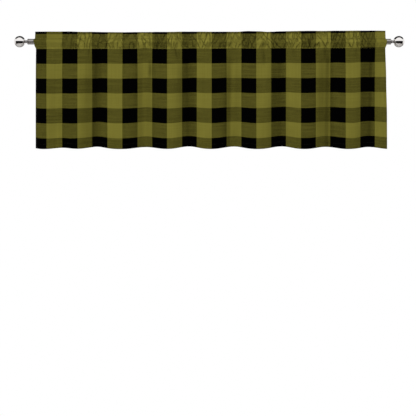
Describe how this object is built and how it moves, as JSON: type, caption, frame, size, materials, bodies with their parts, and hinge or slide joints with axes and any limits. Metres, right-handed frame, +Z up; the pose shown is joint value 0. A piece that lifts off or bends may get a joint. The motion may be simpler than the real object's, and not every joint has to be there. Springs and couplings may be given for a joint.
{
  "type": "window valance on curtain rod",
  "caption": "Short check cloth valance with a gathered heading, hung by its rod pocket on a plain round metal rod with ball finials.",
  "frame": {"origin": "on the rod's axis, at the middle of the rod's length", "axes": "+X along the rod to the right of someone who faces the front of the cloth, +Y from the front of the cloth towards the wall, +Z up"},
  "size_m": [1.527, 0.0489, 0.4635],
  "materials": {
    "cloth": "woven, matte, even check of olive and black",
    "rod_metal": "polished"
  },
  "bodies": {
    "root": {"valance": "cloth", "rod": "rod_metal", "end_cap_left": "rod_metal", "end_cap_right": "rod_metal", "finial_left": "rod_metal", "finial_right": "rod_metal"}
  },
  "joints": []
}
